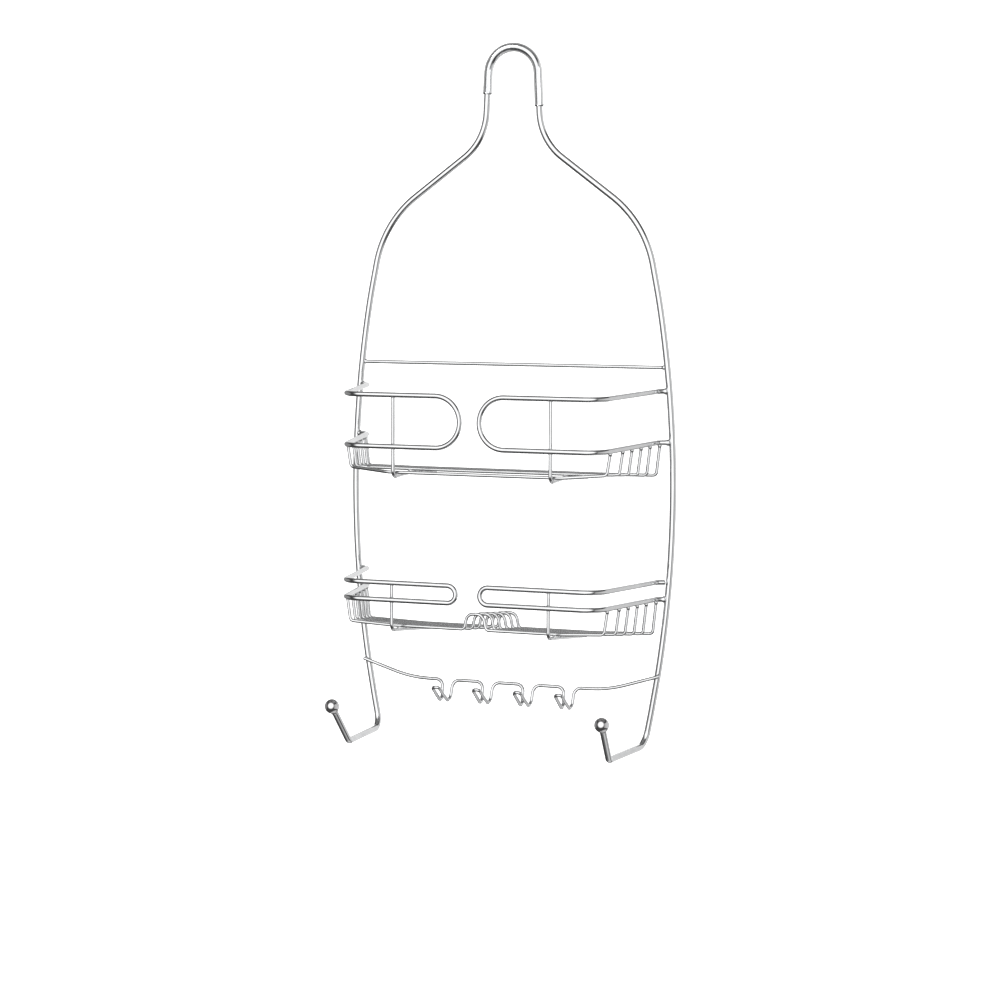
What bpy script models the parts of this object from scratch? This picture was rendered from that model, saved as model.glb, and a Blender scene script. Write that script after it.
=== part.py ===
"""Shower caddy that hangs on a shower arm: a hooped frame wire carries two open wire baskets, a razor bar
and two towel hooks. Metres, +Z up, the baskets facing -Y.

The origin is the seat of the hanging loop: the underside of the sleeve, at the crown, in the frame's plane.
Every wire is bent round stock that is welded to its neighbours. Left is -X.
"""

import math

import bpy
from mathutils import Vector
from mathutils.geometry import intersect_line_line

# Diameters of the stock, and the gap that stands for each weld.
FRAME_WIRE = 0.0050
RAIL_WIRE = 0.0039
SUPPORT_WIRE = 0.0028
FLOOR_WIRE = 0.0026
RAZOR_WIRE = 0.0027
SLEEVE_TUBE = 0.0070
BALL_TIP = 0.0110
WELD_GAP = 0.0003

# Hanging loop and shoulders, on the frame wire's centre line.
LOOP_RADIUS = 0.0198
LEG_TAPER = math.radians(2.75)
NECK_RADIUS = 0.044
NECK_SLOPE = math.radians(36.5)
SHOULDER_RADIUS = 0.083

# Sides of the frame: one long arc from shoulder to foot, then straight down to the hooks.
HALF_WIDTH = 0.1285
SIDE_RADIUS = 0.875
WIDEST_Z = -0.3308
SIDE_TOP_Z = -0.1588
SIDE_FOOT_Z = -0.4908
HOOK_BEND_Z = -0.5193
SIDE_STEPS = 12

# Towel hooks: the frame's ends turn forward and in, climb a little and then rise steeply to a ball.
HOOK_REACH = 0.0717
HOOK_TOE_IN = 0.0050
HOOK_CLIMB = 0.0012
HOOK_RISE = Vector((0.0026, -0.0253, 0.0303))
HOOK_HEEL_RADIUS = 0.012
HOOK_TOE_RADIUS = 0.006

# Sleeve: how far it reaches down each leg from the crown.
SLEEVE_LEFT_DROP = 0.0345
SLEEVE_RIGHT_DROP = 0.0440

# Baskets, in plan: the rails leave the frame, kink forward and taper to a straight front.
BASKET_INSET = 0.0116
BASKET_TAPER = math.radians(11.35)
KINK_DEPTH = 0.0045
KINK_RADIUS = 0.005
RAIL_WELD_Y = -0.0010
CORNER_RADIUS = 0.0155

# Basket floors: cross wires, dished a little between the supports, their ends turned up to the rails.
FLOOR_WIRES = 6
FIRST_WIRE_SETBACK = 0.0160
WIRE_PITCH = 0.0135
SIDE_WIRE_LEAN = 0.0025
FLOOR_BEND_RADIUS = 0.003
DISH_X = 0.068
DISH_RADIUS = 0.025
SUPPORT_X = 0.0616
SUPPORT_RADIUS = 0.005
SUPPORT_KNEE_RADIUS = 0.020
SUPPORT_TAIL = 0.002

# Soap humps in the lower basket's cross wires.
HUMP_FOOT_X = 0.0086
HUMP_TOP_X = 0.0062
HUMP_HEIGHT = 0.0115
HUMP_FOOT_RADIUS = 0.003
HUMP_TOP_RADIUS = 0.006

# Each basket. Rails: how far forward they reach, where they end beside the middle, the top one's height at
# the front and how much higher its weld is, and the gap to the bottom one. Floor: its drop below that at the
# front, how steeply it falls towards the frame, how deep the first wire and the others are dished, how far
# the first wire's middle is cranked forward, where the second and last wires stand, and whether it has humps.
BASKETS = {
    "upper": {
        "front": 0.0892,
        "tip_x": 0.0077,
        "rail_z": -0.2543,
        "weld_lift": 0.0024,
        "rail_gap": 0.0381,
        "floor_drop": 0.0162,
        "floor_fall": 0.068,
        "first_dish": 0.0029,
        "dish": 0.0004,
        "crank": 0.0073,
        "second_wire_y": -0.0550,
        "last_wire_y": -0.0032,
        "humps": False,
    },
    "lower": {
        "front": 0.0915,
        "tip_x": 0.0095,
        "rail_z": -0.3933,
        "weld_lift": -0.0015,
        "rail_gap": 0.0128,
        "floor_drop": 0.0177,
        "floor_fall": 0.110,
        "first_dish": 0.0016,
        "dish": 0.0016,
        "crank": 0.0,
        "second_wire_y": -0.0585,
        "last_wire_y": -0.0045,
        "humps": True,
    },
}
BACK_WIRE_Z = -0.2343

# Razor bar: it is welded to the frame's front, dips to a level run and holds four double-wire prongs.
RAZOR_END_Z = -0.4655
RAZOR_BAR_Z = -0.4782
RAZOR_DIP_X = 0.0795
RAZOR_DIP_RADIUS = 0.100
PRONG_PITCH = 0.0330
PRONG_SHOULDER_X = 0.0043
PRONG_HEEL_X = 0.0031
PRONG_TIP_X = 0.0029
PRONG_DROP = 0.0178
PRONG_HEEL_Y = -0.0094
PRONG_TIP_Y = -0.0300
PRONG_RISE = 0.0158
PRONG_SHOULDER_RADIUS = 0.0058
PRONG_HEEL_RADIUS = 0.005

# Bends: the widest step round an arc, how far a chord may stand off it, and the turn that counts as none.
ARC_STEP = math.radians(24)
CHORD_ERROR = 0.00015
STRAIGHT = math.radians(0.2)
SAME_POINT = 1e-6


def collection(name):
    """A new collection in the scene."""
    group = bpy.data.collections.new(name)
    bpy.context.scene.collection.children.link(group)
    return group


def material(name, colour, roughness, metallic, alpha=1.0):
    """A Principled material."""
    made = bpy.data.materials.new(name)
    made.use_nodes = True
    made.diffuse_color = (*colour, alpha)
    shader = made.node_tree.nodes["Principled BSDF"]
    shader.inputs["Base Color"].default_value = (*colour, 1.0)
    shader.inputs["Roughness"].default_value = roughness
    shader.inputs["Metallic"].default_value = metallic
    shader.inputs["Alpha"].default_value = alpha
    return made


def mirrored(corner):
    """The same corner on the other side of x = 0."""
    point, radius = corner
    return Vector((-point.x, point.y, point.z)), radius


def symmetric(half):
    """Corners of a whole wire from those of its right half, listed from the middle out."""
    return [mirrored(corner) for corner in reversed(half)] + half


def turn_at(before, corner, after):
    """How far a wire turns at one corner."""
    return math.pi - (before - corner).angle(after - corner)


def reaches(places, radii):
    """How far each corner's bend reaches along its two straights, cut back where two bends would meet."""
    turns = [turn_at(*three) for three in zip(places, places[1:], places[2:])]
    wanted = [0] + [radius * math.tan(turn / 2) for radius, turn in zip(radii[1:], turns)] + [0]
    room = [1.0] * len(places)
    for i, (start, end) in enumerate(zip(places, places[1:])):
        share = (end - start).length / max(wanted[i] + wanted[i + 1], SAME_POINT)
        room[i] = min(room[i], share)
        room[i + 1] = min(room[i + 1], share)
    return [reach * share for reach, share in zip(wanted, room)]


def bend(before, corner, after, reach):
    """Points of the arc that rounds one corner of a wire, from one reach before it to one reach after it."""
    turn = turn_at(before, corner, after)
    if reach < SAME_POINT or turn < STRAIGHT:
        return [corner]
    radius = reach / math.tan(turn / 2)
    into = (before - corner).normalized()
    out = (after - corner).normalized()
    centre = corner + (into + out).normalized() * (radius / math.cos(turn / 2))
    first = (corner + into * reach - centre).normalized()
    last = (corner + out * reach - centre).normalized()
    step = min(ARC_STEP, 2 * math.acos(max(0, 1 - CHORD_ERROR / radius)))
    steps = math.ceil(turn / step)
    return [centre + first.slerp(last, i / steps) * radius for i in range(steps + 1)]


def centre_line(corners):
    """Centre line of a bent wire, from (corner, bend radius) pairs, with no point listed twice."""
    places = [place for place, _ in corners]
    bends = reaches(places, [radius for _, radius in corners])
    points = places[:1]
    for i in range(1, len(places) - 1):
        points += bend(*places[i - 1 : i + 2], bends[i])
    points.append(places[-1])
    kept = points[:1]
    for point in points[1:]:
        if (point - kept[-1]).length > SAME_POINT:
            kept.append(point)
    return kept


def wire(name, points, diameter, finish, group, sides=8, capped=True):
    """A round wire along a centre line."""
    curve = bpy.data.curves.new(name, "CURVE")
    curve.dimensions = "3D"
    curve.bevel_depth = diameter / 2
    curve.bevel_resolution = (sides - 4) // 2
    curve.use_fill_caps = capped
    spline = curve.splines.new("POLY")
    spline.points.add(len(points) - 1)
    for spot, point in zip(spline.points, points):
        spot.co = (*point, 1.0)
    curve.materials.append(finish)
    made = bpy.data.objects.new(name, curve)
    group.objects.link(made)
    return made


def frame_side(z):
    """Half width of the frame's centre line, on the long arc of its side."""
    return HALF_WIDTH - SIDE_RADIUS + math.sqrt(SIDE_RADIUS**2 - (z - WIDEST_Z) ** 2)


def side_slope(z):
    """How fast that half width grows with height."""
    return -(z - WIDEST_Z) / math.sqrt(SIDE_RADIUS**2 - (z - WIDEST_Z) ** 2)


def crown_z():
    """Height of the frame wire's centre at the crown, from the sleeve's underside at z = 0."""
    return SLEEVE_TUBE / 2


def loop_corner():
    """Where the crown's tangent meets a leg, which is where the loop's two bends meet in the middle."""
    turn = math.pi / 2 - LEG_TAPER
    return Vector((LOOP_RADIUS * math.tan(turn / 2), 0, crown_z()))


def shoulder_corner():
    """Where the side's tangent meets the sloping neck, and the direction of that neck."""
    top = Vector((frame_side(SIDE_TOP_Z), 0, SIDE_TOP_Z))
    up = Vector((side_slope(SIDE_TOP_Z), 0, 1)).normalized()
    neck = Vector((-math.cos(NECK_SLOPE), 0, math.sin(NECK_SLOPE)))
    return top + up * SHOULDER_RADIUS * math.tan(up.angle(neck) / 2), neck


def neck_corner():
    """Where the sloping neck meets the leg of the loop."""
    shoulder, neck = shoulder_corner()
    loop = loop_corner()
    leg = Vector((math.sin(LEG_TAPER), 0, -math.cos(LEG_TAPER)))
    return intersect_line_line(shoulder, shoulder + neck, loop, loop + leg)[0]


def hook_corners():
    """The right hook's heel, its toe and the centre of its ball."""
    heel_x = frame_side(SIDE_FOOT_Z) + side_slope(SIDE_FOOT_Z) * (HOOK_BEND_Z - SIDE_FOOT_Z)
    heel = Vector((heel_x, 0, HOOK_BEND_Z))
    toe = heel + Vector((-HOOK_TOE_IN, -HOOK_REACH, HOOK_CLIMB))
    return heel, toe, toe + HOOK_RISE


def frame_corners():
    """The whole frame wire, from one ball to the other."""
    side_step = (SIDE_FOOT_Z - SIDE_TOP_Z) / SIDE_STEPS
    levels = [SIDE_TOP_Z + side_step * i for i in range(1, SIDE_STEPS + 1)]
    heel, toe, ball = hook_corners()
    stop = ball - HOOK_RISE.normalized() * (BALL_TIP / 2 + WELD_GAP)
    half = [(loop_corner(), LOOP_RADIUS)]
    half += [(neck_corner(), NECK_RADIUS)]
    half += [(shoulder_corner()[0], SHOULDER_RADIUS)]
    half += [(Vector((frame_side(z), 0, z)), 0) for z in levels]
    half += [(heel, HOOK_HEEL_RADIUS)]
    half += [(toe, HOOK_TOE_RADIUS)]
    half += [(stop, 0)]
    return symmetric(half)


def sleeve_points(points):
    """The part of the frame's centre line that the sleeve covers, cut at its two ends."""
    legs = Vector((math.sin(LEG_TAPER), 0, -math.cos(LEG_TAPER)))
    loop = loop_corner()
    covered = [p for p in points if abs(p.x) < loop.x + NECK_RADIUS and p.z > crown_z() - LOOP_RADIUS]
    left = mirrored((loop + legs * (SLEEVE_LEFT_DROP / math.cos(LEG_TAPER)), 0))[0]
    right = loop + legs * (SLEEVE_RIGHT_DROP / math.cos(LEG_TAPER))
    return [left] + covered + [right]


def make_sleeve(points, finish, group):
    """The clear sleeve: an open tube round the frame wire, with its wall turned inwards."""
    made = wire("loop_sleeve", points, SLEEVE_TUBE, finish, group, sides=12, capped=False)
    wall = made.modifiers.new("wall", "SOLIDIFY")
    wall.thickness = (SLEEVE_TUBE - FRAME_WIRE) / 2 - WELD_GAP
    wall.offset = -1
    return made


def make_ball(name, centre, finish, group):
    """The ball on the end of a hook."""
    bpy.ops.mesh.primitive_uv_sphere_add(segments=16, ring_count=10, radius=BALL_TIP / 2, location=centre)
    made = bpy.context.object
    made.name = name
    made.data.materials.append(finish)
    made.data.shade_smooth()
    for other in made.users_collection:
        other.objects.unlink(made)
    group.objects.link(made)
    return made


def side_run_x(y):
    """Half width of the basket, on the straight side run of its rails."""
    return HALF_WIDTH - BASKET_INSET + math.tan(BASKET_TAPER) * (y + KINK_DEPTH)


def rail_height(sizes, y):
    """Height of a basket's top rail, which runs straight from its weld on the frame to its front."""
    return sizes["rail_z"] + sizes["weld_lift"] * (y + sizes["front"]) / (sizes["front"] + RAIL_WELD_Y)


def floor_height(sizes, y):
    """Height of a basket's floor wires, which lie lower towards the frame."""
    front_z = sizes["rail_z"] - sizes["rail_gap"] - sizes["floor_drop"]
    return front_z - sizes["floor_fall"] * (y + sizes["front"])


def rail_corners(sizes):
    """The right front rail: out from the frame, along the side and front, round its tip and back below."""

    def run(drop):
        weld_z = rail_height(sizes, RAIL_WELD_Y) - drop
        kink_z = rail_height(sizes, -KINK_DEPTH) - drop
        front_y = -sizes["front"]
        front_z = sizes["rail_z"] - drop
        return [
            (Vector((frame_side(weld_z) - FRAME_WIRE / 2 - WELD_GAP, RAIL_WELD_Y, weld_z)), 0),
            (Vector((side_run_x(-KINK_DEPTH), -KINK_DEPTH, kink_z)), KINK_RADIUS),
            (Vector((side_run_x(front_y), front_y, front_z)), CORNER_RADIUS),
            (Vector((sizes["tip_x"], front_y, front_z)), sizes["rail_gap"] / 2),
        ]

    return run(0) + run(sizes["rail_gap"])[::-1]


def rail_x(rail_line, y):
    """Half width of a rail's centre line at one depth, on its way from the frame to the front."""
    for back, front in zip(rail_line, rail_line[1:]):
        if front.y <= y < back.y:
            return back.lerp(front, (back.y - y) / (back.y - front.y)).x


def support_y(sizes):
    """Where the support wires stand: close behind the rails' front run."""
    return -sizes["front"] + (RAIL_WIRE + SUPPORT_WIRE) / 2 + WELD_GAP


def hump_corners(y, floor_z):
    """The right half of a soap hump in a floor wire."""
    return [
        (Vector((HUMP_TOP_X, y, floor_z + HUMP_HEIGHT)), HUMP_TOP_RADIUS),
        (Vector((HUMP_FOOT_X, y, floor_z)), HUMP_FOOT_RADIUS),
    ]


def floor_wire_y(sizes, number):
    """Depth of a floor wire at its ends."""
    if number == 0:
        return FIRST_WIRE_SETBACK - sizes["front"]
    if number == FLOOR_WIRES - 1:
        return sizes["last_wire_y"]
    return sizes["second_wire_y"] + WIRE_PITCH * (number - 1)


def floor_middle(sizes, number):
    """Depth and height of a floor wire where it crosses the supports."""
    if number == 0:
        y = floor_wire_y(sizes, 0) - sizes["crank"]
        return y, floor_height(sizes, y) - sizes["first_dish"]
    y = floor_wire_y(sizes, number)
    return y, floor_height(sizes, y) - sizes["dish"]


def floor_wire_corners(sizes, number, rail_line):
    """One cross wire of a floor, with the side wire that each of its ends turns up into."""
    side_y = floor_wire_y(sizes, number)
    side_x = rail_x(rail_line, side_y)
    top_z = rail_height(sizes, side_y) - sizes["rail_gap"] - RAIL_WIRE / 2 - WELD_GAP
    middle_y, middle_z = floor_middle(sizes, number)
    half = hump_corners(middle_y, middle_z) if sizes["humps"] else []
    half += [(Vector((DISH_X, middle_y, middle_z)), DISH_RADIUS)]
    half += [(Vector((side_x - SIDE_WIRE_LEAN, side_y, floor_height(sizes, side_y))), FLOOR_BEND_RADIUS)]
    half += [(Vector((side_x, side_y, top_z)), 0)]
    return symmetric(half)


def support_corners(sizes):
    """The right support: down behind the rails, then back under the floor, touching each wire."""
    under = (SUPPORT_WIRE + FLOOR_WIRE) / 2 + WELD_GAP
    first_y, first_z = floor_middle(sizes, 0)
    second_y, second_z = floor_middle(sizes, 1)
    last_y, last_z = floor_middle(sizes, FLOOR_WIRES - 1)
    stand_y = support_y(sizes)
    foot_z = first_z + (second_z - first_z) / (second_y - first_y) * (stand_y - first_y)
    tail_z = last_z - sizes["floor_fall"] * SUPPORT_TAIL
    return [
        (Vector((SUPPORT_X, stand_y, sizes["rail_z"])), 0),
        (Vector((SUPPORT_X, stand_y, foot_z - under)), SUPPORT_RADIUS),
        (Vector((SUPPORT_X, second_y, second_z - under)), SUPPORT_KNEE_RADIUS),
        (Vector((SUPPORT_X, last_y + SUPPORT_TAIL, tail_z - under)), 0),
    ]


def prong_corners(middle_x):
    """One razor prong: down from the bar, forward and up to a tip, and the same way back."""
    heel_z = RAZOR_BAR_Z - PRONG_DROP
    right = [
        (Vector((PRONG_TIP_X, PRONG_TIP_Y, heel_z + PRONG_RISE)), PRONG_TIP_X),
        (Vector((PRONG_HEEL_X, PRONG_HEEL_Y, heel_z)), PRONG_HEEL_RADIUS),
        (Vector((PRONG_SHOULDER_X, razor_bar_y(), RAZOR_BAR_Z)), PRONG_SHOULDER_RADIUS),
    ]
    shift = Vector((middle_x, 0, 0))
    return [(point + shift, radius) for point, radius in symmetric(right)]


def razor_bar_y():
    """The razor bar lies against the front of the frame."""
    return -(FRAME_WIRE + RAZOR_WIRE) / 2 - WELD_GAP


def razor_bar_corners():
    """The razor bar from end to end, with its prongs."""
    bar_y = razor_bar_y()
    end_x = frame_side(RAZOR_END_Z) + FRAME_WIRE / 2
    end = (Vector((end_x, bar_y, RAZOR_END_Z)), 0)
    dip = (Vector((RAZOR_DIP_X, bar_y, RAZOR_BAR_Z)), RAZOR_DIP_RADIUS)
    prongs = []
    for place in (-1.5, -0.5, 0.5, 1.5):
        prongs += prong_corners(place * PRONG_PITCH)
    return [mirrored(end), mirrored(dip)] + prongs + [dip, end]


def make_basket(name, sizes, finishes, group):
    """Both rails, the floor wires and both supports of one basket."""
    rail = rail_corners(sizes)
    support = support_corners(sizes)
    for side, flip in (("left", mirrored), ("right", lambda corner: corner)):
        rail_line = centre_line([flip(corner) for corner in rail])
        wire(f"{name}_{side}_rail", rail_line, RAIL_WIRE, finishes["rail"], group, sides=10)
        support_line = centre_line([flip(corner) for corner in support])
        wire(f"{name}_{side}_support", support_line, SUPPORT_WIRE, finishes["basket"], group)
    for number in range(FLOOR_WIRES):
        line = centre_line(floor_wire_corners(sizes, number, centre_line(rail)))
        wire(f"{name}_floor_wire_{number + 1}", line, FLOOR_WIRE, finishes["basket"], group)


def make_back_wire(finish, group):
    """The wire across the back of the upper basket, from one side of the frame to the other."""
    reach = frame_side(BACK_WIRE_Z) - FRAME_WIRE / 2 - WELD_GAP
    points = [Vector((-reach, 0, BACK_WIRE_Z)), Vector((reach, 0, BACK_WIRE_Z))]
    wire("upper_back_wire", points, SUPPORT_WIRE, finish, group)


def main():
    for old in list(bpy.data.objects):
        bpy.data.objects.remove(old)
    caddy = collection("shower_caddy")
    finishes = {
        "frame": material("frame_chrome", (0.78, 0.79, 0.80), 0.12, 1.0),
        "rail": material("rail_chrome", (0.76, 0.77, 0.78), 0.14, 1.0),
        "basket": material("basket_chrome", (0.80, 0.81, 0.82), 0.16, 1.0),
        "ball": material("ball_chrome", (0.70, 0.71, 0.73), 0.08, 1.0),
        "sleeve": material("sleeve_vinyl", (0.86, 0.87, 0.88), 0.22, 0.0, alpha=0.45),
    }
    frame_line = centre_line(frame_corners())
    wire("frame_wire", frame_line, FRAME_WIRE, finishes["frame"], caddy, sides=12)
    make_sleeve(sleeve_points(frame_line), finishes["sleeve"], caddy)
    ball = hook_corners()[2]
    make_ball("left_ball_tip", mirrored((ball, 0))[0], finishes["ball"], caddy)
    make_ball("right_ball_tip", ball, finishes["ball"], caddy)
    for name, sizes in BASKETS.items():
        make_basket(name, sizes, finishes, caddy)
    make_back_wire(finishes["basket"], caddy)
    razor_line = centre_line(razor_bar_corners())
    wire("razor_bar", razor_line, RAZOR_WIRE, finishes["basket"], caddy)


main()
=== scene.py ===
"""Looks of the hanging shower caddy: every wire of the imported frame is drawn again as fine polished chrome,
with smooth bends, weld fillets and turned ball tips, and the loop gets its clear vinyl sleeve.
Metres, +Z up, the baskets facing -Y. Left is -X.
"""

import math
from itertools import combinations

import bmesh
import bpy
import numpy as np
from mathutils import Matrix, Vector, noise
from mathutils.geometry import intersect_line_line


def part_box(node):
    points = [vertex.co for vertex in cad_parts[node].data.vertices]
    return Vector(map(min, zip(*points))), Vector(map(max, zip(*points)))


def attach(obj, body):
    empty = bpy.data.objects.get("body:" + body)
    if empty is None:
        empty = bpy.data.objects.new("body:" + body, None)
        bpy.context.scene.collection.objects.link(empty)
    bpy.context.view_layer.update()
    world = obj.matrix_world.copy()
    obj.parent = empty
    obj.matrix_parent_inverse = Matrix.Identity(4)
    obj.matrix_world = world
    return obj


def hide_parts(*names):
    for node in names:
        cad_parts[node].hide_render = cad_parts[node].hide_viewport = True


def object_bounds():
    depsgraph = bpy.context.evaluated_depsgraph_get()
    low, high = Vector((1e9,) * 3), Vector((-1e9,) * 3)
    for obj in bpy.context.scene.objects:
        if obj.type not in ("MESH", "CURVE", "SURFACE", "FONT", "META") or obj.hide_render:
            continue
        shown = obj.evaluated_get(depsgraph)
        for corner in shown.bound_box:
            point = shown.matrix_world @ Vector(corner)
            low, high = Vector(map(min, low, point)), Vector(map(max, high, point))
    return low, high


# Reading a wire's centre line from its CAD solid: the widest gap inside one vertex, the turn that counts as
# none, how uneven a round end may be, and how much longer a straight run is than the chords of an arc.
SAME_VERTEX = 1e-6
FLAT_ANGLE = 1e-3
ROUND_CORNERS = 8
ROUND_TOLERANCE = 0.01
LONG_RUN = 1.6

# Fine wires: widest turn and longest step between rings, and each kind's number of sides.
TURN_STEP = math.radians(4)
LENGTH_STEP = 0.0020
SIDES = {"frame": 36, "rail": 28, "basket": 22}

# Ends of wires, in radii of the wire: a free end's (distance from it, width), the extra rings near every end,
# the closest that two rings may be, and how much a butt-welded end flares and how far from it.
END_ROUNDING = ((0.00, 0.70), (0.08, 0.86), (0.20, 0.96), (0.36, 1.00))
END_RINGS = (0, 0.08, 0.2, 0.36, 0.55, 0.8, 1.1, 1.5, 2.0)
RING_SPACING = 0.04
BUTT_FLARE = 0.30
BUTT_FLARE_LENGTH = 0.55

# Welds: how close two surfaces lie where they are welded, how deep a butt-welded end and a fillet are sunk,
# how far a weld's duller skin reaches, and how far apart two welds of the same two wires are.
WELD_REACH = 0.0006
BUTT_SINK = 0.0007
WELD_SINK = 0.00025
WELD_HALO = 0.0026
SAME_WELD = 0.0045

# Weld fillets: width as a share of the wires' radii, the waist and the unevenness as shares of that width.
WELD_WIDTH = 0.80
WELD_WAIST = 0.74
WELD_UNEVEN = 0.07
WELD_LUMPS = 1.7
WELD_RINGS = 8
WELD_SIDES = 28

# Ball tips, with a collar below each ball: widths in radii of the wire, and lengths in metres.
BALL_SIDES = 56
BALL_RINGS = 30
BALL_SOCKET = 0.0020
COLLAR_WIDTH = 1.17
COLLAR_FOOT_WIDTH = 0.98
COLLAR_LENGTH = 0.0011
COLLAR_EDGE = 0.0002
NECK_WIDTH = 1.06

# Sleeve: its wall, its number of sides, how uneven it is and over what length, and its softened cut edges.
SLEEVE_WALL = 0.0007
SLEEVE_SIDES = 48
SLEEVE_WOBBLE = 0.00012
SLEEVE_WAVE = 0.011
SLEEVE_EDGE = 0.00018

# Chrome: sizes of its patterns per metre, the duller spots and welds, and the depth of the finest marks.
PLATE_CLOUDS = 95.0
PLATE_SPOTS = 160.0
PLATE_DIMPLES = 900.0
POLISHING_LINES = (2600.0, 26.0, 1.0)
SPOT_DULLNESS = 0.045
WELD_DULLNESS = 0.16
DIMPLE_SHARE = 0.5
CHROME_DEPTH = 0.000012

# Vinyl: sizes of its haze and ripples per metre, and the depth of the ripples.
VINYL_HAZE = 70.0
VINYL_RIPPLES = 260.0
VINYL_DEPTH = 0.00008

# Camera: where it stands from the middle of the object's box, and how it looks.
CAMERA_FROM_MIDDLE = Vector((0.7026, -1.8578, 0.1147))
CAMERA_YAW = math.radians(20.46)
CAMERA_PITCH = math.radians(5.48)
CAMERA_ROLL = math.radians(0.25)
CAMERA_LENS = 96.5
CAMERA_SENSOR = 36.0
CAMERA_REACH = 20.0

# Studio: a round white room that only the camera sees, with its floor below the hanging object.
FLOOR_BELOW = 0.85
ROOM_RADIUS = 3.2
ROOM_COVE = 0.9
ROOM_COVE_STEPS = 12
ROOM_HEIGHT = 4.2
ROOM_SIDES = 96

# Studio light: soft panels round the object, and dark cloth between them. Each panel has its heading to the
# right of the camera's view, its height, the height it reaches to above and below the level of the object,
# and its brightness by the angle from its middle, from far to near. All angles are in degrees.
STUDIO_STRENGTH = 1.4
DARK_CLOTH = 0.05
PANEL_FADE = 10
PANELS = {
    "softbox": (-163, 18, 80, ((76, 0.0), (54, 0.08), (46, 0.40), (38, 1.0))),
    "backdrop": (12, 0, 26, ((46, 0.0), (32, 0.54), (12, 0.64))),
    "right_wall": (66, 0, 26, ((84, 0.0), (70, 0.36), (30, 0.52))),
    "left_card": (-60, 0, 26, ((40, 0.0), (26, 0.22))),
    "top_card": (0, 90, 80, ((54, 0.0), (30, 0.14))),
    "floor_card": (50, -68, 80, ((34, 0.0), (22, 0.46))),
}

# Lamps, which light the vinyl: place from the middle of the object, size and power.
LAMPS = {
    "key": (Vector((-1.2, -1.6, 1.5)), 1.2, 30.0),
    "fill": (Vector((1.8, -1.0, 0.4)), 1.0, 10.0),
}


def kind_of(name):
    """Which stock a wire is made of."""
    if name == "frame_wire":
        return "frame"
    return "rail" if name.endswith("_rail") else "basket"


def unit(vectors):
    """Vectors scaled to length one."""
    return vectors / np.linalg.norm(vectors, axis=-1, keepdims=True)


# ---------------------------------------------------------------- centre lines


def is_round(face):
    """True for the flat end of a wire: all its corners lie equally far from its middle."""
    corners = np.array([vertex.co for vertex in face.verts])
    spread = np.linalg.norm(corners - corners.mean(axis=0), axis=1)
    return len(corners) >= ROUND_CORNERS and np.ptp(spread) < ROUND_TOLERANCE * spread.mean()


def traced(node):
    """A wire's centre line, from the rings of vertices in its CAD solid, and its radius."""
    solid = bmesh.new()
    solid.from_mesh(node.data)
    bmesh.ops.remove_doubles(solid, verts=solid.verts, dist=SAME_VERTEX)
    bmesh.ops.dissolve_limit(solid, angle_limit=FLAT_ANGLE, verts=[], edges=solid.edges)
    ends = [face for face in solid.faces if is_round(face)]
    first = min(ends, key=lambda face: tuple(round(value, 5) for value in face.calc_center_median()))
    ring = list(first.verts)
    seen = set(ring)
    centres = []
    radius = (ring[0].co - first.calc_center_median()).length
    while ring:
        centres.append(np.mean([vertex.co for vertex in ring], axis=0))
        beside = [edge.other_vert(vertex) for vertex in ring for edge in vertex.link_edges]
        ring = [vertex for vertex in dict.fromkeys(beside) if vertex not in seen]
        seen.update(ring)
    solid.free()
    return np.array(centres), radius


def tangents(points):
    """The direction of a bent wire at each of its points: a straight run's own, and an arc's in between."""
    steps = np.diff(points, axis=0)
    lengths = np.linalg.norm(steps, axis=1)
    ways = unit(steps)
    found = [ways[0]]
    for i in range(1, len(points) - 1):
        before, after = lengths[i - 1], lengths[i]
        if before > LONG_RUN * after:
            found.append(ways[i - 1])
        elif after > LONG_RUN * before:
            found.append(ways[i])
        else:
            found.append(unit(ways[i - 1] * after + ways[i] * before))
    found.append(ways[-1])
    return np.array(found)


def smooth(points):
    """The same line with its chords turned back into arcs, with a point every few degrees and millimetres."""
    ways = tangents(points)
    line = [points[0]]
    for start, end, away, into in zip(points, points[1:], ways, ways[1:]):
        chord = np.linalg.norm(end - start)
        turn = math.acos(min(1.0, float(away @ into)))
        handle = chord / 3
        if turn > FLAT_ANGLE:
            handle = chord * (4 / 3) * math.tan(turn / 4) / (2 * math.sin(turn / 2))
        count = max(1, math.ceil(turn / TURN_STEP), math.ceil(chord / LENGTH_STEP))
        for share in (np.arange(count) + 1) / count:
            rest = 1 - share
            line.append(
                rest**3 * start
                + 3 * rest**2 * share * (start + away * handle)
                + 3 * rest * share**2 * (end - into * handle)
                + share**3 * end
            )
    return np.array(line)


def along(line):
    """Distance of each point of a line from its start."""
    return np.concatenate([[0], np.cumsum(np.linalg.norm(np.diff(line, axis=0), axis=1))])


def at(line, places):
    """Points of a line at those distances from its start."""
    lengths = along(line)
    return np.stack([np.interp(places, lengths, line[:, axis]) for axis in range(3)], axis=1)


# ---------------------------------------------------------------- welds


def ways_of(line):
    """Direction of a fine line at each of its points."""
    return unit(np.gradient(line, axis=0))


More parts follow.
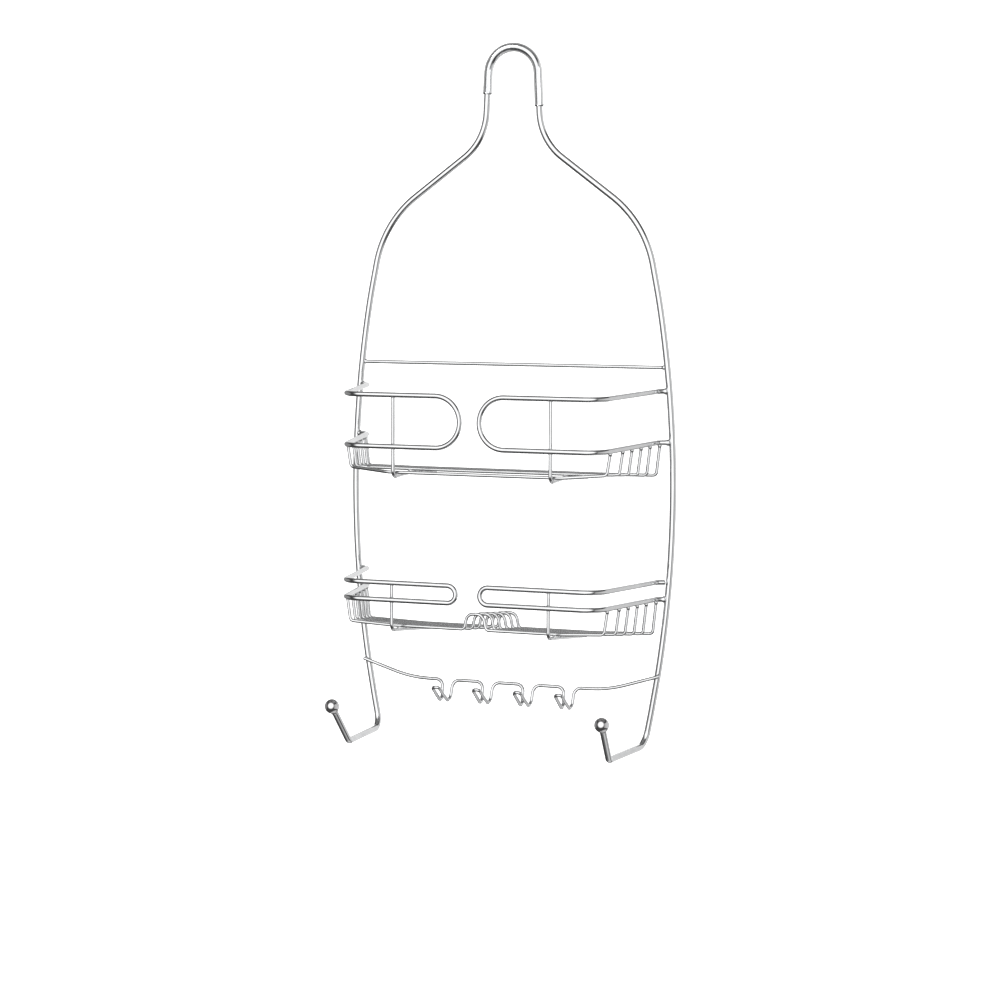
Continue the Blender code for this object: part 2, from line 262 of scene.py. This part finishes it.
def crossings(one, other):
    """Where two wires lie against each other: (point on one, point on other, direction of each)."""
    reach = one["radius"] + other["radius"] + WELD_REACH
    gaps = np.linalg.norm(one["line"][:, None] - other["line"][None], axis=2)
    found = []
    while gaps.min() < reach + LENGTH_STEP / 2:
        i, j = np.unravel_index(gaps.argmin(), gaps.shape)
        here, there = Vector(one["line"][i]), Vector(other["line"][j])
        way, other_way = Vector(one["ways"][i]), Vector(other["ways"][j])
        near = intersect_line_line(here, here + way, there, there + other_way)
        if near and (near[0] - here).length < LENGTH_STEP and (near[1] - there).length < LENGTH_STEP:
            if (near[0] - near[1]).length < reach:
                found.append((near[0], near[1], way, other_way))
        far_one = np.linalg.norm(one["line"] - one["line"][i], axis=1) > SAME_WELD
        far_other = np.linalg.norm(other["line"] - other["line"][j], axis=1) > SAME_WELD
        gaps = np.where(far_one[:, None] | far_other[None], gaps, np.inf)
    return found


def butt_gap(wires, name, end):
    """The gap from a wire's end to the side of the wire that it is welded to, or None at a free end."""
    tip = wires[name]["line"][end]
    for other, wire in wires.items():
        if other == name:
            continue
        gap = np.linalg.norm(wire["line"] - tip, axis=1).min() - wire["radius"]
        if gap < WELD_REACH:
            return gap
    return None


def fillet(shape, here, there, way, other_way, radii, seed):
    """The saddle of metal between two crossing wires, which fills the gap and widens into each of them."""
    up = (there - here).normalized()
    gap = (there - here).length - sum(radii)
    middle = here + up * (radii[0] + gap / 2)
    across = up.cross(way).normalized()
    rings = []
    for level in range(WELD_RINGS + 1):
        height = 2 * level / WELD_RINGS - 1
        width = WELD_WAIST + (1 - WELD_WAIST) * height**2
        ring = []
        for turn in (2 * math.pi * i / WELD_SIDES for i in range(WELD_SIDES)):
            lump = 1 + WELD_UNEVEN * noise.noise(Vector((math.cos(turn), math.sin(turn), seed)) * WELD_LUMPS)
            x = radii[1] * WELD_WIDTH * width * lump * math.cos(turn)
            y = radii[0] * WELD_WIDTH * width * lump * math.sin(turn)
            place = way * x + across * y
            side = other_way.cross(up).dot(place)
            low = gap / 2 + radii[0] - math.sqrt(radii[0] ** 2 - y**2) + WELD_SINK
            high = gap / 2 + radii[1] - math.sqrt(max(0, radii[1] ** 2 - side**2)) + WELD_SINK
            rise = (high + low) * (height + 1) / 2 - low
            ring.append(shape.verts.new(middle + place + up * rise))
        rings.append(ring)
    close_rings(shape, rings)


def join_rings(shape, rings):
    """Walls from each ring of vertices to the next."""
    for ring, above in zip(rings, rings[1:]):
        for i in range(len(ring)):
            shape.faces.new((ring[i - 1], ring[i], above[i], above[i - 1]))


def close_rings(shape, rings):
    """Walls between rings of vertices, and a flat face over each open end."""
    join_rings(shape, rings)
    shape.faces.new(rings[0][::-1])
    shape.faces.new(rings[-1])


# ---------------------------------------------------------------- meshes


def to_mesh(name, shape):
    """A mesh from a shape whose faces all turn outwards."""
    bmesh.ops.recalc_face_normals(shape, faces=shape.faces)
    mesh = bpy.data.meshes.new(name)
    shape.to_mesh(mesh)
    shape.free()
    return mesh


def finished(name, mesh, finish, slot, *nodes):
    """A shaded piece that rides on the caddy and stands for CAD nodes."""
    piece = bpy.data.objects.new(name, mesh)
    bpy.context.scene.collection.objects.link(piece)
    mesh.materials.append(finish)
    mesh.shade_smooth()
    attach(piece, "root")
    if nodes:
        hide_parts(*nodes)
    return piece


def frames(line):
    """Two directions across the line at each point, which turn with it without twisting."""
    ways = [Vector(way) for way in ways_of(line)]
    across = ways[0].orthogonal().normalized()
    sides = [across]
    for before, after in zip(ways, ways[1:]):
        across = (before.rotation_difference(after) @ sides[-1]).normalized()
        sides.append((across - after * across.dot(after)).normalized())
    firsts = np.array(sides)
    return firsts, np.cross(np.array(ways), firsts)


def ring_places(line, radii, sides):
    """Vertices round a line, ring by ring."""
    first, second = frames(line)
    turns = np.arange(sides) * 2 * math.pi / sides
    spokes = np.cos(turns)[:, None] * first[:, None] + np.sin(turns)[:, None] * second[:, None]
    return line[:, None] + spokes * np.asarray(radii)[:, None, None]


def tube_mesh(name, line, radii, sides):
    """A closed tube with a UV map in metres: across it goes round the tube, and up it goes along it."""
    places = ring_places(line, radii, sides)
    rings = len(line)
    vertices = np.concatenate([places.reshape(-1, 3), line[:1], line[-1:]])
    start, end = rings * sides, rings * sides + 1
    ring, spoke = np.meshgrid(np.arange(rings - 1), np.arange(sides), indexing="ij")
    ring, spoke = ring.ravel(), spoke.ravel()
    beside = (spoke + 1) % sides
    low, high = ring * sides, (ring + 1) * sides
    quads = np.stack([low + spoke, low + beside, high + beside, high + spoke], axis=1)
    spokes = np.arange(sides)
    turned = (spokes + 1) % sides
    last = (rings - 1) * sides
    caps = [(start, b, a) for a, b in zip(spokes.tolist(), turned.tolist())]
    caps += [(end, last + a, last + b) for a, b in zip(spokes.tolist(), turned.tolist())]
    mesh = bpy.data.meshes.new(name)
    mesh.from_pydata(vertices.tolist(), [], quads.tolist() + caps)
    girth = 2 * math.pi * float(np.median(radii)) / sides
    lengths = along(line)
    u = np.stack([spoke, spoke + 1, spoke + 1, spoke], axis=1) * girth
    v = np.stack([lengths[ring], lengths[ring], lengths[ring + 1], lengths[ring + 1]], axis=1)
    cap_uv = [(0.0, 0.0)] * 3 * sides + [(0.0, lengths[-1])] * 3 * sides
    uv = np.concatenate([np.stack([u, v], axis=2).reshape(-1, 2), np.array(cap_uv)])
    mesh.uv_layers.new(name="along_wire").data.foreach_set("uv", uv.ravel())
    return mesh


def end_profile(places, radius, length, butts, extension):
    """Radius at each place along a wire: flared into the weld at a butt end, rounded off at a free one."""
    radii = np.full(len(places), radius)
    for butt, sunk, distance in zip(butts, extension, (places, length - places)):
        if butt:
            swell = np.exp(-(((distance - sunk) / (BUTT_FLARE_LENGTH * radius)) ** 2))
            radii *= 1 + BUTT_FLARE * swell
        else:
            shares, widths = zip(*END_ROUNDING)
            radii *= np.interp(distance / radius, shares, widths)
    return radii


def mark_welds(mesh, spots):
    """A value at each vertex that fades from 1 at a weld to 0 a few millimetres away."""
    places = np.empty(len(mesh.vertices) * 3)
    mesh.vertices.foreach_get("co", places)
    places = places.reshape(-1, 3)
    near = np.full(len(places), np.inf)
    for spot in spots:
        near = np.minimum(near, np.linalg.norm(places - np.array(spot), axis=1))
    fade = np.exp(-((near / WELD_HALO) ** 2))
    mesh.attributes.new("weld", "FLOAT", "POINT").data.foreach_set("value", fade)


def make_wire(wires, name, finish, slot):
    """One fine wire, with its ends carried into what they are welded to."""
    wire = wires[name]
    line, radius, ways = wire["line"], wire["radius"], wire["ways"]
    butts = [gap is not None for gap in wire["gaps"]]
    free = BALL_SOCKET if name == "frame_wire" else 0
    sunk = [free if gap is None else gap + BUTT_SINK for gap in wire["gaps"]]
    line = np.concatenate([[line[0] - ways[0] * sunk[0]], line, [line[-1] + ways[-1] * sunk[1]]])
    length = along(line)[-1]
    near = radius * np.array(END_RINGS)
    places = np.unique(np.round(np.concatenate([along(line), near, length - near]), 7))
    places = places[np.concatenate([[True], np.diff(places) > radius * RING_SPACING])]
    places[-1] = length
    radii = end_profile(places, radius, length, butts, sunk)
    mesh = tube_mesh(name, at(line, places), radii, SIDES[kind_of(name)])
    mark_welds(mesh, wire["welds"])
    return finished(f"{name}_polished", mesh, finish, slot, name)


def make_welds(name, joints, finish, slot):
    """All the weld fillets of one part of the caddy, as one piece."""
    shape = bmesh.new()
    for seed, joint in enumerate(joints):
        fillet(shape, *joint, seed)
    return finished(name, to_mesh(name, shape), finish, slot)


def ball_profile(radius, wire_radius):
    """(distance along the hook, distance from its axis) from the collar's foot to the top of the ball."""
    foot = -radius - COLLAR_LENGTH
    wide = wire_radius * COLLAR_WIDTH
    seam = -math.sqrt(radius**2 - wide**2)
    profile = [
        (foot - COLLAR_EDGE, wire_radius * COLLAR_FOOT_WIDTH),
        (foot, wire_radius * NECK_WIDTH),
        (foot + COLLAR_EDGE / 2, wide - COLLAR_EDGE / 2),
        (foot + COLLAR_EDGE, wide),
        (-radius, wide),
        (-radius + COLLAR_EDGE, wide - COLLAR_EDGE / 2),
        ((-radius + seam) / 2, wide - COLLAR_EDGE),
        (seam + COLLAR_EDGE, wide + COLLAR_EDGE),
    ]
    start = math.acos(-(seam + COLLAR_EDGE * 2) / radius)
    for i in range(BALL_RINGS):
        angle = start + (math.pi - start) * i / BALL_RINGS
        profile.append((-radius * math.cos(angle), radius * math.sin(angle)))
    return profile


def make_ball(name, wires, end, finish, slot):
    """A hook's ball with the collar that it is brazed to, turned about the end of the frame wire."""
    frame_wire = wires["frame_wire"]
    low, high = (Vector(corner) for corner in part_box(name))
    centre = (low + high) / 2
    radius = (high.z - low.z) / 2
    way = Vector(frame_wire["ways"][end]) * (1 if end else -1)
    across = way.orthogonal().normalized()
    upright = way.cross(across)
    shape = bmesh.new()
    rings = []
    for forward, width in ball_profile(radius, frame_wire["radius"]):
        turns = (2 * math.pi * i / BALL_SIDES for i in range(BALL_SIDES))
        spokes = [across * math.cos(turn) + upright * math.sin(turn) for turn in turns]
        rings.append([shape.verts.new(centre + way * forward + spoke * width) for spoke in spokes])
    pole = shape.verts.new(centre + way * radius)
    top = rings[-1]
    join_rings(shape, rings)
    for i in range(BALL_SIDES):
        shape.faces.new((top[i - 1], top[i], pole))
    shape.faces.new(rings[0][::-1])
    return finished(f"{name}_polished", to_mesh(name, shape), finish, slot, name)


def sleeve_line(line, node):
    """The stretch of the frame's centre line that the sleeve covers."""
    corners = np.array([vertex.co for vertex in node.data.vertices])
    left = corners[corners[:, 0] < 0][:, 2].min()
    right = corners[corners[:, 0] > 0][:, 2].min()
    crown = int(line[:, 2].argmax())
    lengths = along(line)
    start = np.interp(left, line[:crown, 2], lengths[:crown])
    end = np.interp(-right, -line[crown:, 2], lengths[crown:])
    places = np.linspace(start, end, math.ceil((end - start) / (LENGTH_STEP / 2)))
    return at(line, places)


def make_sleeve(name, line, node, finish, slot):
    """The clear sleeve: an open tube with a real wall, a little uneven, with softened cut ends."""
    low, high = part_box(name)
    outer = (high[1] - low[1]) / 2
    inner = outer - SLEEVE_WALL
    lengths = along(line)
    wobble = [SLEEVE_WOBBLE * noise.noise(Vector((place / SLEEVE_WAVE, 0, 0))) for place in lengths]
    from_end = np.minimum(lengths, lengths[-1] - lengths)
    soft = SLEEVE_EDGE * np.exp(-((from_end / SLEEVE_EDGE) ** 2))
    skin = ring_places(line, outer + np.array(wobble) - np.abs(wobble).max() - soft, SLEEVE_SIDES)
    lining = ring_places(line, np.full(len(line), inner) + soft, SLEEVE_SIDES)
    shape = bmesh.new()
    walls = []
    for places in (skin, lining):
        walls.append([[shape.verts.new(place) for place in ring] for ring in places])
    loop = walls[0] + walls[1][::-1]
    join_rings(shape, loop + loop[:1])
    return finished(f"{name}_clear", to_mesh(name, shape), finish, slot, name)


# ---------------------------------------------------------------- materials


def new_material(name):
    """An empty node material, with its shader."""
    made = bpy.data.materials.new(name)
    made.use_nodes = True
    return made, made.node_tree, made.node_tree.nodes["Principled BSDF"]


def add(tree, kind, **inputs):
    """A shader node. Each input is a plain value or another node's output."""
    node = tree.nodes.new("ShaderNode" + kind)
    for name, value in inputs.items():
        socket = node.inputs[name.replace("_", " ")]
        if isinstance(value, bpy.types.NodeSocket):
            tree.links.new(value, socket)
        else:
            socket.default_value = value
    return node


def ramp(tree, factor, *stops):
    """A colour ramp through (place, colour) stops."""
    node = add(tree, "ValToRGB", Fac=factor)
    elements = node.color_ramp.elements
    while len(elements) < len(stops):
        elements.new(1.0)
    for element, (place, colour) in zip(elements, stops):
        element.position = place
        element.color = (*colour, 1.0)
    return node.outputs["Color"]


def between(tree, value, low, high, start=0.3, end=0.7):
    """A value carried from one range to another."""
    node = add(tree, "MapRange", Value=value, From_Min=start, From_Max=end, To_Min=low, To_Max=high)
    return node.outputs["Result"]


def maths(tree, operation, one, other):
    """The sum, product or other result of two values."""
    node = tree.nodes.new("ShaderNodeMath")
    node.operation = operation
    for socket, value in zip(node.inputs, (one, other)):
        if isinstance(value, bpy.types.NodeSocket):
            tree.links.new(value, socket)
        else:
            socket.default_value = value
    return node.outputs["Value"]


def clouds(tree, vector, scale, detail=2.0):
    """Soft noise."""
    return add(tree, "TexNoise", Vector=vector, Scale=scale, Detail=detail).outputs["Fac"]


def chrome(name, dark, light, rough, streaks=True):
    """Bright chrome plate: faint clouding, water spots, fine polishing lines and duller skin at the welds."""
    made, tree, shader = new_material(name)
    place = tree.nodes.new("ShaderNodeTexCoord")
    plate = clouds(tree, place.outputs["Object"], PLATE_CLOUDS, 4.0)
    colour = ramp(tree, plate, (0.30, dark), (0.72, light))
    tree.links.new(colour, shader.inputs["Base Color"])
    shader.inputs["Metallic"].default_value = 1.0
    spots = add(tree, "TexVoronoi", Vector=place.outputs["Object"], Scale=PLATE_SPOTS, Randomness=1.0)
    spotting = between(tree, spots.outputs["Distance"], SPOT_DULLNESS, 0.0, 0.02, 0.16)
    weld = add(tree, "Attribute")
    weld.attribute_name = "weld"
    skin = maths(tree, "ADD", between(tree, plate, rough[0], rough[1]), spotting)
    duller = maths(tree, "MULTIPLY", weld.outputs["Fac"], WELD_DULLNESS)
    tree.links.new(maths(tree, "ADD", skin, duller), shader.inputs["Roughness"])
    dimples = clouds(tree, place.outputs["Object"], PLATE_DIMPLES, 3.0)
    height = maths(tree, "MULTIPLY", dimples, DIMPLE_SHARE)
    if streaks:
        stretched = add(tree, "VectorMath", Vector=place.outputs["UV"])
        stretched.operation = "MULTIPLY"
        stretched.inputs[1].default_value = POLISHING_LINES
        lines = clouds(tree, stretched.outputs["Vector"], 1.0, 3.0)
        height = maths(tree, "ADD", height, lines)
    height = maths(tree, "ADD", height, maths(tree, "MULTIPLY", weld.outputs["Fac"], dimples))
    bump = add(tree, "Bump", Strength=0.35, Distance=CHROME_DEPTH, Height=height)
    tree.links.new(bump.outputs["Normal"], shader.inputs["Normal"])
    return made


def vinyl(name):
    """Clear vinyl tube, slightly milky, with a soft uneven skin."""
    made, tree, shader = new_material(name)
    place = tree.nodes.new("ShaderNodeTexCoord")
    haze = clouds(tree, place.outputs["Object"], VINYL_HAZE, 3.0)
    colour = ramp(tree, haze, (0.3, (0.93, 0.935, 0.94)), (0.7, (0.98, 0.98, 0.98)))
    tree.links.new(colour, shader.inputs["Base Color"])
    tree.links.new(between(tree, haze, 0.03, 0.09), shader.inputs["Roughness"])
    shader.inputs["Transmission Weight"].default_value = 1.0
    shader.inputs["IOR"].default_value = 1.45
    ripple = clouds(tree, place.outputs["Object"], VINYL_RIPPLES)
    bump = add(tree, "Bump", Strength=0.3, Distance=VINYL_DEPTH, Height=ripple)
    tree.links.new(bump.outputs["Normal"], shader.inputs["Normal"])
    return made


# ---------------------------------------------------------------- studio


def make_room(centre, floor_z):
    """A round white room with a coved floor, which only the camera sees."""
    profile = [(0.0, 0.0), (ROOM_RADIUS - ROOM_COVE, 0.0)]
    for i in range(1, ROOM_COVE_STEPS + 1):
        turn = math.pi / 2 * i / ROOM_COVE_STEPS
        out = ROOM_RADIUS - ROOM_COVE + ROOM_COVE * math.sin(turn)
        profile.append((out, ROOM_COVE * (1 - math.cos(turn))))
    profile += [(ROOM_RADIUS, ROOM_HEIGHT), (0.0, ROOM_HEIGHT)]
    shape = bmesh.new()
    path = [shape.verts.new((centre.x + out, centre.y, floor_z + up)) for out, up in profile]
    edges = [shape.edges.new(pair) for pair in zip(path, path[1:])]
    bmesh.ops.spin(
        shape,
        geom=path + edges,
        cent=(centre.x, centre.y, 0),
        axis=(0, 0, 1),
        angle=2 * math.pi,
        steps=ROOM_SIDES,
        use_merge=True,
    )
    bmesh.ops.remove_doubles(shape, verts=shape.verts, dist=SAME_VERTEX)
    mesh = bpy.data.meshes.new("studio_floor")
    shape.to_mesh(mesh)
    shape.free()
    mesh.shade_smooth()
    made, tree, shader = new_material("studio_white")
    shader.inputs["Base Color"].default_value = (0.92, 0.92, 0.92, 1.0)
    shader.inputs["Roughness"].default_value = 0.9
    shader.inputs["Emission Color"].default_value = (1.0, 1.0, 1.0, 1.0)
    shader.inputs["Emission Strength"].default_value = 1.0
    mesh.materials.append(made)
    room = bpy.data.objects.new("studio_floor", mesh)
    bpy.context.scene.collection.objects.link(room)
    room.visible_glossy = False
    room.visible_diffuse = False
    room.visible_shadow = False
    room.visible_transmission = False


def glow_round(tree, way, axis, stops):
    """Light by the angle in degrees from an axis, through (angle, brightness) stops, from far to near."""
    near = add(tree, "VectorMath", Vector=way)
    near.operation = "DOT_PRODUCT"
    near.inputs[1].default_value = axis
    place = between(tree, near.outputs["Value"], 0.0, 1.0, -1.0, 1.0)
    placed = [((1 + math.cos(math.radians(angle))) / 2, (glow, glow, glow)) for angle, glow in stops]
    return ramp(tree, place, *placed)


def cut_level(tree, way, glow, reach):
    """A panel's light, fading out at its top and bottom."""
    level = maths(tree, "ABSOLUTE", add(tree, "SeparateXYZ", Vector=way).outputs["Z"], 0.0)
    top, edge = (math.sin(math.radians(angle)) for angle in (reach + PANEL_FADE, reach))
    cut = add(tree, "VectorMath")
    cut.operation = "SCALE"
    tree.links.new(glow, cut.inputs[0])
    tree.links.new(between(tree, level, 1.0, 0.0, edge, top), cut.inputs["Scale"])
    return cut.outputs["Vector"]


def make_sky():
    """Light from the panels round the object, each seen where it is brighter than the others."""
    world = bpy.data.worlds.new("studio_light")
    bpy.context.scene.world = world
    world.use_nodes = True
    tree = world.node_tree
    way = tree.nodes.new("ShaderNodeTexCoord").outputs["Generated"]
    glow = add(tree, "Value").outputs["Value"]
    glow.default_value = DARK_CLOTH
    for heading, height, reach, stops in PANELS.values():
        side = CAMERA_YAW - math.radians(heading)
        rise = math.radians(height)
        axis = (-math.sin(side) * math.cos(rise), math.cos(side) * math.cos(rise), math.sin(rise))
        panel = cut_level(tree, way, glow_round(tree, way, axis, stops), reach)
        brighter = add(tree, "VectorMath")
        brighter.operation = "MAXIMUM"
        tree.links.new(glow, brighter.inputs[0])
        tree.links.new(panel, brighter.inputs[1])
        glow = brighter.outputs["Vector"]
    background = tree.nodes["Background"]
    tree.links.new(glow, background.inputs["Color"])
    background.inputs["Strength"].default_value = STUDIO_STRENGTH


def make_light(name, place, target, size, power):
    """A soft square lamp, which isn't itself seen in the chrome."""
    lamp = bpy.data.lights.new(name, "AREA")
    lamp.size = size
    lamp.energy = power
    made = bpy.data.objects.new(name, lamp)
    bpy.context.scene.collection.objects.link(made)
    made.visible_glossy = False
    made.location = place
    made.rotation_euler = (target - Vector(place)).to_track_quat("-Z", "Y").to_euler()


def make_camera(centre):
    """The camera, a little above the middle of the object and to its right."""
    lens = bpy.data.cameras.new("camera")
    lens.lens = CAMERA_LENS
    lens.sensor_width = CAMERA_SENSOR
    lens.clip_end = CAMERA_REACH
    camera = bpy.data.objects.new("camera", lens)
    bpy.context.scene.collection.objects.link(camera)
    turn = Matrix.Rotation(CAMERA_YAW, 4, "Z")
    tilt = Matrix.Rotation(math.pi / 2 - CAMERA_PITCH, 4, "X")
    roll = Matrix.Rotation(CAMERA_ROLL, 4, "Z")
    camera.matrix_world = Matrix.Translation(centre + CAMERA_FROM_MIDDLE) @ turn @ tilt @ roll
    bpy.context.scene.camera = camera


def plain(box):
    """A box as plain lists of numbers."""
    return [[float(value) for value in corner] for corner in box]


def find_wires(nodes):
    """Each wire's fine centre line, radius and directions, and the gap at each of its ends."""
    wires = {}
    for name in sorted(nodes):
        if name == "loop_sleeve" or name.endswith("_ball_tip"):
            continue
        points, radius = traced(nodes[name])
        line = smooth(points)
        wires[name] = {"line": line, "radius": radius, "ways": ways_of(line), "welds": []}
    for name, wire in wires.items():
        wire["gaps"] = [butt_gap(wires, name, 0), butt_gap(wires, name, -1)]
        wire["welds"] += [wire["line"][end] for end, gap in zip((0, -1), wire["gaps"]) if gap is not None]
    return wires


def find_joints(wires):
    """The crossings where wires are welded, sorted into the upper basket, the lower basket and the frame."""
    joints = {"upper": [], "lower": [], "frame": []}
    for name, other in combinations(wires, 2):
        radii = (wires[name]["radius"], wires[other]["radius"])
        group = name.split("_")[0]
        if group not in joints or group != other.split("_")[0]:
            group = "frame"
        for here, there, way, other_way in crossings(wires[name], wires[other]):
            joints[group].append((here, there, way, other_way, radii))
            wires[name]["welds"].append(here)
            wires[other]["welds"].append(there)
    return joints


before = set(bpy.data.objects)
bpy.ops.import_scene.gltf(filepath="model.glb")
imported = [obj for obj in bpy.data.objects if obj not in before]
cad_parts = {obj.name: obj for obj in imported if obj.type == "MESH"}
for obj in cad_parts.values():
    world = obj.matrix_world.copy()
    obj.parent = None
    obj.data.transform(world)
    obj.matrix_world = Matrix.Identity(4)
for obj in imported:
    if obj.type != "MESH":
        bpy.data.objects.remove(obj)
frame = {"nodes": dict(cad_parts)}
cad_box = plain(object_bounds())
middle = (Vector(cad_box[0]) + Vector(cad_box[1])) / 2
bpy.context.scene.view_settings.view_transform = "Standard"

frame_chrome = chrome("frame_chrome", (0.74, 0.745, 0.755), (0.83, 0.835, 0.84), (0.035, 0.085))
rail_chrome = chrome("rail_chrome", (0.72, 0.725, 0.735), (0.81, 0.815, 0.82), (0.045, 0.10))
basket_chrome = chrome("basket_chrome", (0.73, 0.735, 0.745), (0.82, 0.825, 0.83), (0.05, 0.11))
ball_chrome = chrome("ball_chrome", (0.70, 0.69, 0.70), (0.79, 0.78, 0.79), (0.025, 0.06), streaks=False)
weld_chrome = chrome("weld_chrome", (0.60, 0.60, 0.61), (0.76, 0.76, 0.77), (0.14, 0.26), streaks=False)
sleeve_vinyl = vinyl("sleeve_vinyl")
finishes = {"frame": frame_chrome, "rail": rail_chrome, "basket": basket_chrome}

wires = find_wires(frame["nodes"])
joints = find_joints(wires)
for wire_name in wires:
    stock = kind_of(wire_name)
    make_wire(wires, wire_name, finishes[stock], f"{stock}_chrome")
for group, found in joints.items():
    make_welds(f"{group}_welds", found, weld_chrome, "basket_chrome")
make_ball("left_ball_tip", wires, 0, ball_chrome, "ball_chrome")
make_ball("right_ball_tip", wires, -1, ball_chrome, "ball_chrome")
covered = sleeve_line(wires["frame_wire"]["line"], frame["nodes"]["loop_sleeve"])
make_sleeve("loop_sleeve", covered, frame["nodes"]["loop_sleeve"], sleeve_vinyl, "sleeve_vinyl")

make_room(middle, cad_box[0][2] - FLOOR_BELOW)
make_camera(middle)
make_sky()
for lamp_name, (from_middle, size, power) in LAMPS.items():
    make_light(lamp_name, middle + from_middle, middle, size, power)
